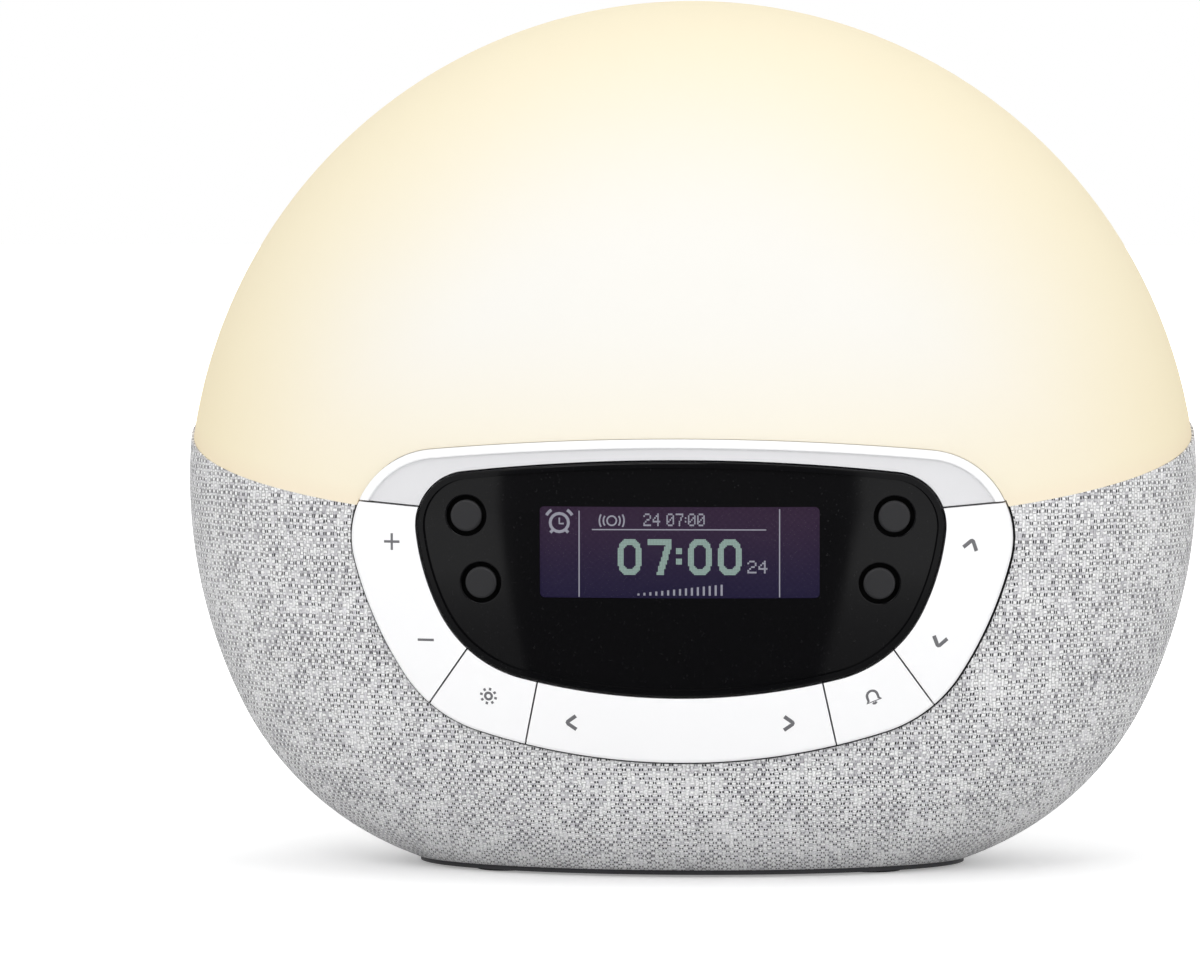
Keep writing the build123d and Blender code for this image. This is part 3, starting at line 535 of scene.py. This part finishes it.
glass = Finish("display_dark", {"Roughness": 0.2, "Emission Strength": 1.0})
gx, _, gz = glass.split(glass.place)
lift = glass.ease(gz, screen_low, screen_high)
mesh_dots = ((gx / mesh_pitch).wave() * (gz / mesh_pitch).wave()) * 0.5 + 0.5
glass.vary("Base Color", glass.mix(lift, colour(20, 18, 30), colour(28, 20, 30)))
screen = glass.mix(lift, colour(38, 33, 62), colour(60, 44, 66))
glass.vary("Emission Color", glass.mix(mesh_dots * 0.2, screen, (0, 0, 0, 1)))
glass.onto(nodes["display_glass"])

lit_grey = Finish("lit_grey", {"Roughness": 0.4, "Emission Strength": 1.0})
lit_tone = lit_grey.grain(2500.0)
lit_grey.vary("Base Color", lit_grey.mix(lit_tone, colour(60, 60, 66), colour(70, 70, 76)))
lit_grey.vary("Emission Color", lit_grey.mix(lit_tone, colour(150, 150, 164), colour(168, 168, 180)))

lit_time = Finish("lit_time", {"Roughness": 0.4, "Emission Strength": 1.0})
time_tone = lit_time.grain(1800.0)
lit_time.vary("Base Color", lit_time.mix(time_tone, colour(50, 60, 56), colour(60, 70, 66)))
lit_time.vary("Emission Color", lit_time.mix(time_tone, colour(146, 172, 164), colour(162, 186, 178)))

screen_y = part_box("display_glass")[0].y - 0.03 * mm
digit_rows = {
    "0": ("01110", "10001", "10011", "10101", "11001", "10001", "01110"),
    "2": ("01110", "10001", "00001", "00110", "01000", "10000", "11111"),
    "4": ("00010", "00110", "01010", "10010", "11111", "00010", "00010"),
    "7": ("11111", "00001", "00010", "00010", "00100", "00100", "00100"),
    ":": ("0", "0", "1", "0", "1", "0", "0"),
    " ": ("00", "00", "00", "00", "00", "00", "00"),
}
big_columns, big_rows = 16, 24
nought_size, nought_hole, nought_curve = (8, 12), (4.2, 8.2), 2.7
bar_dots, stem_start, stem_dots, stem_lean = 4, 11.2, 4.6, 0.3
colon_rows = (6, 13)
big_places = ((0, "0"), (20, "7"), (39, ":"), (47, "0"), (67, "0"))


def written(words):
    """The lit dots of small digits, as columns and rows."""
    dots = []
    start = 0
    for letter in words:
        rows = digit_rows[letter]
        dots += [(start + column, row) for row, cells in enumerate(rows)
                 for column, cell in enumerate(cells) if cell == "1"]
        start += len(rows[0]) + 1
    return dots


def oval(column, row, half_width, half_height):
    """Under 1 inside an oval with full corners in the middle of a big digit's dots."""
    aside, above = column - (big_columns - 1) / 2, row - (big_rows - 1) / 2
    return abs(aside / half_width) ** nought_curve + abs(above / half_height) ** nought_curve


def big_dot(digit, column, row):
    """Whether a dot of a big digit is lit."""
    if digit == "0":
        return oval(column, row, *nought_size) < 1 < oval(column, row, *nought_hole)
    if digit == "7":
        stem = stem_start - stem_lean * (row - bar_dots)
        return row < bar_dots or stem <= column < stem + stem_dots
    return column < bar_dots and any(start <= row < start + bar_dots for start in colon_rows)


def dot_grid(name, dots, left, top, step, fill=0.93):
    """Square dots as one thin piece on the display: left, top and the dots' steps in millimetres."""
    bpy.ops.object.select_all(action="DESELECT")
    bpy.ops.mesh.primitive_plane_add(size=1, rotation=(pi / 2, 0, 0))
    piece = bpy.context.object
    bpy.ops.object.transform_apply(location=False, rotation=True, scale=False)
    corners = [tuple(vertex.co) for vertex in piece.data.vertices]
    order = tuple(piece.data.polygons[0].vertices)
    points = []
    for column, row in dots:
        x, z = left + (column + 0.5) * step[0], top - (row + 0.5) * step[1]
        points += [((x + px * fill * step[0]) * mm, screen_y, (z + pz * fill * step[1]) * mm)
                   for px, _, pz in corners]
    made = bpy.data.meshes.new(name)
    faces = [tuple(4 * index + corner for corner in order) for index in range(len(dots))]
    made.from_pydata(points, [], faces)
    piece.data = made
    piece.name = name
    return piece


def on_screen(piece, finish):
    finish.onto(piece)
    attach(piece, "housing")


big_dots = [(start + column, row) for start, digit in big_places for column in range(big_columns)
            for row in range(big_rows) if big_dot(digit, column, row)]
on_screen(dot_grid("time_numbers", big_dots, -12.6, 70.9, (0.302, 0.302)), lit_time)
on_screen(dot_grid("alarm_numbers", written("24 07:00"), -7.4, 76.1, (0.31, 0.37)), lit_grey)
on_screen(dot_grid("side_numbers", written("24"), 13.6, 66.6, (0.37, 0.37)), lit_grey)


def screen_line(name, strokes, width=0.22):
    """Thin lines of the display's image, from points in millimetres on the screen."""
    line = print_sign(name, strokes, width * mm)
    depth = line.dimensions.y
    settle(line, Matrix.Translation((0, screen_y, 0)) @ Matrix.Scale(0.04 * mm / depth, 4, (0, 1, 0)))
    on_screen(line, lit_grey)


screen_line("screen_rules", [[(-20.4, 76.6), (-20.4, 59.2)], [(20.1, 77.0), (20.1, 59.2)],
                             [(-17.8, 72.8), (17.4, 72.8)]], 0.24)
alarm_middle, ringing_middle = (-24.4, 74.2), (-13.8, 74.6)
screen_line("alarm_picture", [
    arc(alarm_middle, 1.85, 0, 360, 16), [(-25.7, 72.7), (-26.2, 72.2)], [(-23.1, 72.7), (-22.6, 72.2)]], 0.6)
screen_line("alarm_hands", [[(-24.4, 75.2), (-24.4, 74.0), (-23.5, 74.0)]], 0.35)
screen_line("alarm_bells", [arc(alarm_middle, 3.0, 150, 122, 3), arc(alarm_middle, 3.0, 58, 30, 3)], 0.6)
screen_line("ringing_picture", [
    arc(ringing_middle, 0.95, 0, 360, 14), arc(ringing_middle, 1.7, 145, 215, 4),
    arc(ringing_middle, 1.7, -35, 35, 4), arc(ringing_middle, 2.5, 150, 210, 5),
    arc(ringing_middle, 2.5, -30, 30, 5)], 0.32)
bar_count, bar_pitch = 15, 1.2
bar_foot, first_bar_top, bar_growth = 59.5, 59.9, 0.13
screen_line("level_bars", [[(x, bar_foot), (x, first_bar_top + bar_growth * index)] for index, x in enumerate(
    (step - (bar_count - 1) / 2) * bar_pitch for step in range(bar_count))], 0.42)

# ---- Fabric cover ----
# A plain weave of heather yarns, light grey, white and dark grey, stretched over the base shell and
# glued. Its cut edges are turned in at the dome, round the face, at the rear cover and under the base.

widest, depth_share = 105.4 * mm, 60 / 105.4
belly_height, belly_rise, belly_turn = 80.4 * mm, radians(17.5), radians(25.5)
foot_radius, foot_x, foot_z, foot_turn = 65.35 * mm, 36.15 * mm, 63.16 * mm, radians(70.6)
hem_height, hem_opening = 1.5 * mm, 49.8 * mm
cloth_thickness = 1.2 * mm


def belly_ring(place):
    """Radius and height of the cloth at a length along its profile, down from the top."""
    main_length = (belly_rise + belly_turn) * widest
    if place <= main_length:
        turn = belly_rise - place / widest
        return widest * cos(turn), belly_height + widest * sin(turn)
    turn = -belly_turn - (place - main_length) / foot_radius
    return foot_x + foot_radius * cos(turn), foot_z + foot_radius * sin(turn)


def outline_points(top, arcs, grow, steps=14):
    """A closed line of arcs, each tangent to the next, from the top middle to the bottom and back.

    An arc is its radius in millimetres and its turn in degrees. The last one closes the line.
    """
    x, z, heading = 0.0, top + grow, 0.0
    right = []
    for radius, turn in arcs + [(None, None)]:
        if radius is None:
            radius, turn = x / sin(pi - heading), pi - heading
        else:
            radius, turn = radius + grow, radians(turn)
        cx, cz = x - radius * sin(heading), z - radius * cos(heading)
        headings = [heading + turn * step / steps for step in range(steps)]
        right += [(cx + radius * sin(angle), cz + radius * cos(angle)) for angle in headings]
        heading += turn
        x, z = cx + radius * sin(heading), cz + radius * cos(heading)
    right.append((0.0, z))
    return right + [(-x, z) for x, z in reversed(right[1:-1])]


ring_top, ring_gap = 91.25, 0.55
ring_arcs = [(532.6, 5.47), (18.04, 98.81), (79.12, 18.48), (27.58, 40.04)]
ring_line = outline_points(ring_top, ring_arcs, ring_gap)


def cutter(name, points, front, back):
    """A prism of the front view from points in millimetres, to cut openings with."""
    made = bpy.data.meshes.new(name)
    made.from_pydata([(x * mm, front, z * mm) for x, z in points], [], [tuple(range(len(points)))])
    piece = bpy.data.objects.new(name, made)
    bpy.context.scene.collection.objects.link(piece)
    bpy.ops.object.select_all(action="DESELECT")
    piece.select_set(True)
    bpy.context.view_layer.objects.active = piece
    bpy.ops.object.mode_set(mode="EDIT")
    bpy.ops.mesh.select_all(action="SELECT")
    bpy.ops.mesh.extrude_region_move(TRANSFORM_OT_translate={"value": (0, back - front, 0)})
    bpy.ops.mesh.select_all(action="SELECT")
    bpy.ops.mesh.normals_make_consistent(inside=False)
    bpy.ops.object.mode_set(mode="OBJECT")
    return piece


def modelled(piece, kind, settings):
    """Add a modifier, set it and apply it."""
    change = piece.modifiers.new(kind.lower(), kind)
    for name, value in settings.items():
        setattr(change, name, value)
    bpy.ops.object.select_all(action="DESELECT")
    piece.select_set(True)
    bpy.context.view_layer.objects.active = piece
    bpy.ops.object.modifier_apply(modifier=change.name)


bpy.ops.object.select_all(action="DESELECT")
around = 320
profile_length = (belly_rise + belly_turn) * widest + (foot_turn - belly_turn) * foot_radius
row_count = 62
rows = [belly_ring(profile_length * step / row_count) for step in range(row_count + 1)]
rows[-1] = (rows[-1][0], hem_height)
hem_steps = 4
rows += [(rows[-1][0] + (hem_opening - rows[-1][0]) * step / hem_steps, hem_height)
         for step in range(1, hem_steps + 1)]
bpy.ops.mesh.primitive_circle_add(vertices=around, radius=rows[0][0], location=(0, 0, rows[0][1]))
cloth = bpy.context.object
cloth.name = "woven_cover"
bpy.ops.object.transform_apply(location=True, rotation=False, scale=False)
bpy.ops.object.mode_set(mode="EDIT")
bpy.ops.mesh.select_all(action="SELECT")
for (radius, height), (next_radius, next_height) in zip(rows, rows[1:]):
    bpy.ops.mesh.extrude_edges_move(TRANSFORM_OT_translate={"value": (0, 0, next_height - height)})
    grown = next_radius / radius
    bpy.ops.transform.resize(value=(grown, grown, 1), center_override=(0, 0, next_height))
bpy.ops.mesh.select_all(action="SELECT")
bpy.ops.transform.resize(value=(1, depth_share, 1), center_override=(0, 0, 0))
bpy.ops.mesh.bisect(plane_co=(0, 0, seam_height), plane_no=(0, -seam_slope, 1), clear_outer=True)
bpy.ops.mesh.select_all(action="SELECT")
bpy.ops.mesh.normals_make_consistent(inside=False)
bpy.ops.object.mode_set(mode="OBJECT")
widest_face = min(cloth.data.polygons,
                  key=lambda face: abs(face.center.z - belly_height) + abs(face.center.x - widest))
if widest_face.normal.x < 0:
    cloth.data.flip_normals()
modelled(cloth, "SOLIDIFY", {"thickness": cloth_thickness, "offset": -1.0, "use_even_offset": True})
face_cutter = cutter("face_cutter", ring_line, -100 * mm, -40 * mm)
rear_side, rear_low, rear_high, rear_corner = 22, 27, 53, 12.3
rear_line = [point for cx, cz, start in ((rear_side, rear_high, 90), (rear_side, rear_low, 0),
                                         (-rear_side, rear_low, -90), (-rear_side, rear_high, -180))
             for point in arc((cx, cz), rear_corner, start, start - 90, 8)]
rear_cutter = cutter("rear_cutter", rear_line, 20 * mm, 100 * mm)
for blade in (face_cutter, rear_cutter):
    modelled(cloth, "BOOLEAN", {"operation": "DIFFERENCE", "solver": "EXACT", "object": blade})
    bpy.data.objects.remove(blade)
modelled(cloth, "BEVEL", {"width": 0.5 * mm, "segments": 3, "limit_method": "ANGLE",
                          "angle_limit": radians(50), "harden_normals": False})
bpy.ops.object.shade_smooth_by_angle(angle=radians(40))


def weave_map(piece):
    """A map in metres: along the cloth's width from the middle of the front, and up its height."""
    steps = 720
    arc_length = [0.0]
    for step in range(steps):
        turn = pi * (step + 0.5) / steps
        arc_length.append(arc_length[-1] + hypot(cos(turn), depth_share * sin(turn)) * pi / steps)
    layer = piece.data.uv_layers.new(name="weave")
    for face in piece.data.polygons:
        side = 1 if face.center.x >= 0 else -1
        for loop in face.loop_indices:
            x, y, z = piece.data.vertices[piece.data.loops[loop].vertex_index].co
            deep = y / depth_share
            turn = abs(atan2(x * side, -deep))
            place = min(turn / pi * steps, steps - 1e-6)
            low = int(place)
            share = arc_length[low] + (arc_length[low + 1] - arc_length[low]) * (place - low)
            if z > foot_z - foot_radius * sin(belly_turn):
                up = widest * asin((z - belly_height) / widest)
            else:
                up = foot_radius * (asin((z - foot_z) / foot_radius) + belly_turn) - widest * belly_turn
            layer.data[loop].uv = (side * share * hypot(x, deep), up)


weave_map(cloth)

warp_pitch, weft_pitch, yarn_sway = 0.856 * mm, 1.24 * mm, 1.3 * mm
dash_end, hollow_end = (0.36, 0.40), (0.28, 0.35)
fibre_cells, strand_cells = (5200, 1500), (3600, 900)

yarn = Finish("heather_weave", {"Roughness": 0.92, "Sheen Weight": 0.3, "Sheen Roughness": 0.5,
                                "Specular IOR Level": 0.15})
along, up, _ = yarn.split(yarn.node("UVMap", {"uv_map": "weave"}, {}))
sway = (yarn.grain(260.0, 3.0) - 0.5) * yarn_sway
column_place = (along + sway) / warp_pitch
column = column_place.whole()
beside = abs(column_place - column - 0.5)
row_place = ((up + sway * 0.8) / weft_pitch + column - 0.5) / 2
float_number = row_place.whole()
beyond = abs(row_place - float_number - 0.5)
thread = yarn.speckle(yarn.join(column, float_number, 1.0))
pick = yarn.speckle(yarn.join(column, float_number, 2.0))
dash = yarn.ease(beyond, *dash_end)
under_dash = yarn.ease(beyond, *hollow_end) * (1 - dash)
seam_line = yarn.ease(beside, 0.2, 0.4)
pit = yarn.ease(beside, 0.03, 0.16) * (1 - yarn.ease(beyond, 0.1, 0.18)) * yarn.ease(pick, 0.05, 0.45)
fibre = yarn.grain(1.0, 2.0, yarn.join(along * fibre_cells[0], up * fibre_cells[1]))
strand = yarn.grain(1.0, 2.0, yarn.join(along * strand_cells[0], up * strand_cells[1], 4.0))
strand = yarn.ease(strand, 0.48, 0.62)
clump = yarn.ease(yarn.grain(110.0, 3.0), 0.38, 0.66)
tone = yarn.node("ValToRGB", {"stops": [
    (0.0, colour(200, 199, 203)), (0.2, colour(236, 235, 238)), (0.5, colour(249, 249, 250)),
    (1.0, colour(255, 255, 255))]}, {0: thread - clump * 0.1})
dash_tone = yarn.mix(pick > 0.84, colour(255, 255, 255), colour(214, 213, 218))
warp_tone = yarn.mix(strand * (0.1 + clump * 0.55), tone, colour(88, 87, 93))
surface = yarn.mix(dash * (1 - seam_line * 0.3), warp_tone, dash_tone)
# Painted shade: the pits at the floats' ends, the lines between columns and the hollows above and below each
# float go near-black. This is partly the real dark gaps of the weave and partly shade between the yarns.
painted_gap_shade = pit | (seam_line * (0.06 + thread * 0.36) * (1 - dash)) | (under_dash * (0.15 + thread * 0.5))
surface = yarn.mix(painted_gap_shade, surface, colour(16, 15, 18))
yarn.vary("Base Color", yarn.mix(yarn.ease(fibre, 0.4, 0.64) * 0.34, surface, colour(120, 119, 124)))
yarn.relief((1 - seam_line) * (1 - under_dash) * 0.7 + dash * 0.3 + fibre * 0.2, 0.3 * mm, 0.7)
yarn.onto(cloth)
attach(cloth, "housing")
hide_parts("fabric_cover")

# ---- Base ----
# The shell under the fabric and the plate beneath it are dark grey moulded plastic with a fine
# texture. Four soft rubber feet sit in the plate.

dark_shell = satin_finish("base_dark", colour(44, 44, 47), colour(54, 54, 57), 0.55, 0.4)
dark_shell.onto(nodes["base_shell"], nodes["base_plate"], nodes["display_holder"])

foot_rubber = Finish("foot_rubber", {"Roughness": 0.85, "Specular IOR Level": 0.3})
bloom = foot_rubber.grain(220.0, 4.0)
foot_rubber.vary("Base Color", foot_rubber.mix(bloom, colour(30, 30, 31), colour(46, 46, 47)))
foot_rubber.relief(foot_rubber.grain(2500.0, 3.0), 0.03 * mm)
foot_rubber.onto(*[nodes[f"foot_{end}_{side}"] for end in ("front", "back") for side in ("left", "right")])

# ---- Back ----
# A dark rear cover follows the body. It holds the speaker behind a grille of upright slots, and a
# round recess takes the power plug.

rear_plastic = satin_finish("rear_plastic", colour(52, 52, 55), colour(60, 60, 63), 0.55, 0.4)
rear_plastic.onto(nodes["rear_cover"], nodes["speaker_basket"])

paper = Finish("speaker_paper", {"Roughness": 0.95})
pulp = paper.grain(700.0, 5.0)
paper.vary("Base Color", paper.mix(pulp, colour(34, 34, 36), colour(58, 57, 58)))
paper.relief(pulp, 0.08 * mm)
paper.onto(nodes["speaker_cone"])

# ---- Metal parts ----
# Turned steel rocker pins, the jack's centre pin, the speaker's magnet and zinc-plated screws. The
# four screws of the rear cover are driven from outside, so their heads have a cross slot.

steel = Finish("turned_steel", {"Metallic": 1.0})
tx, ty, tz = steel.split(steel.place)
lathe = steel.grain(2400.0, 2.0, steel.join(tx, ty * 3, tz))
steel.vary("Base Color", steel.mix(lathe, colour(168, 170, 174), colour(206, 207, 210)))
steel.vary("Roughness", 0.22 + lathe * 0.16)
steel.relief(lathe, 0.01 * mm)
steel.onto(*[nodes[name] for name in nodes if name.endswith(("_pin", "_screws")) or name == "speaker_magnet"])

head_radius = 2.2 * mm
slot_length, slot_width, slot_depth = 2.6 * mm, 0.7 * mm, 0.6 * mm
cross_screws = bpy.data.objects.new("cross_screws", nodes["rear_cover_screws"].data.copy())
bpy.context.scene.collection.objects.link(cross_screws)
settle(cross_screws, nodes["rear_cover_screws"].matrix_world)
bpy.ops.object.select_all(action="DESELECT")
cross_screws.select_set(True)
bpy.context.view_layer.objects.active = cross_screws
bpy.ops.object.mode_set(mode="EDIT")
bpy.ops.mesh.select_all(action="SELECT")
bpy.ops.mesh.remove_doubles(threshold=0.001 * mm)
bpy.ops.object.mode_set(mode="OBJECT")
screws_low, screws_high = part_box("rear_cover_screws")
screws_middle = (screws_low + screws_high) / 2
screw_points = [vertex.co.copy() for vertex in cross_screws.data.vertices]
for side, level in ((-1, -1), (-1, 1), (1, -1), (1, 1)):
    head_top = max(point.y for point in screw_points
                   if point.x * side > 0 and (point.z - screws_middle.z) * level > 0)
    head_place = (side * (screws_high.x - head_radius), head_top,
                  screws_middle.z + level * (screws_high.z - screws_middle.z - head_radius))
    for length_x, length_z in ((slot_length, slot_width), (slot_width, slot_length)):
        bpy.ops.object.select_all(action="DESELECT")
        bpy.ops.mesh.primitive_cube_add(size=1, location=head_place)
        bar = bpy.context.object
        bar.scale = (length_x, 2 * slot_depth, length_z)
        bpy.ops.object.transform_apply(location=True, rotation=False, scale=True)
        modelled(cross_screws, "BOOLEAN", {"operation": "DIFFERENCE", "solver": "EXACT", "object": bar})
        bpy.data.objects.remove(bar)
bpy.ops.object.shade_smooth_by_angle(angle=radians(30))
steel.onto(cross_screws)
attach(cross_screws, "housing")
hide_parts("rear_cover_screws")

# ---- Boards' parts ----
# Black moulded switches, plungers, chips and connectors on the boards, and a pale flat cable with
# copper strips, which joins the key board to the main board.

moulded = Finish("component_black", {"Roughness": 0.5})
specks = moulded.grain(1200.0, 3.0)
moulded.vary("Base Color", moulded.mix(specks, colour(26, 26, 28), colour(42, 42, 44)))
moulded.relief(specks, 0.02 * mm)
moulded.onto(nodes["key_switches"], nodes["main_board_parts"], nodes["ribbon_connectors"],
             nodes["power_jack"], *[nodes[name] for name in nodes if "plunger" in name])

flat_cable = Finish("flat_cable", {"Roughness": 0.4})
rx, _, _ = flat_cable.split(flat_cable.place)
strip_pitch = 1.0 * mm
strips = flat_cable.ease((rx / strip_pitch * 2 * pi).wave(), -0.2, 0.2)
flat_cable.vary("Base Color", flat_cable.mix(strips, colour(228, 226, 220), colour(206, 176, 140)))
flat_cable.relief(strips, 0.03 * mm)
flat_cable.onto(nodes["ribbon_cable"])
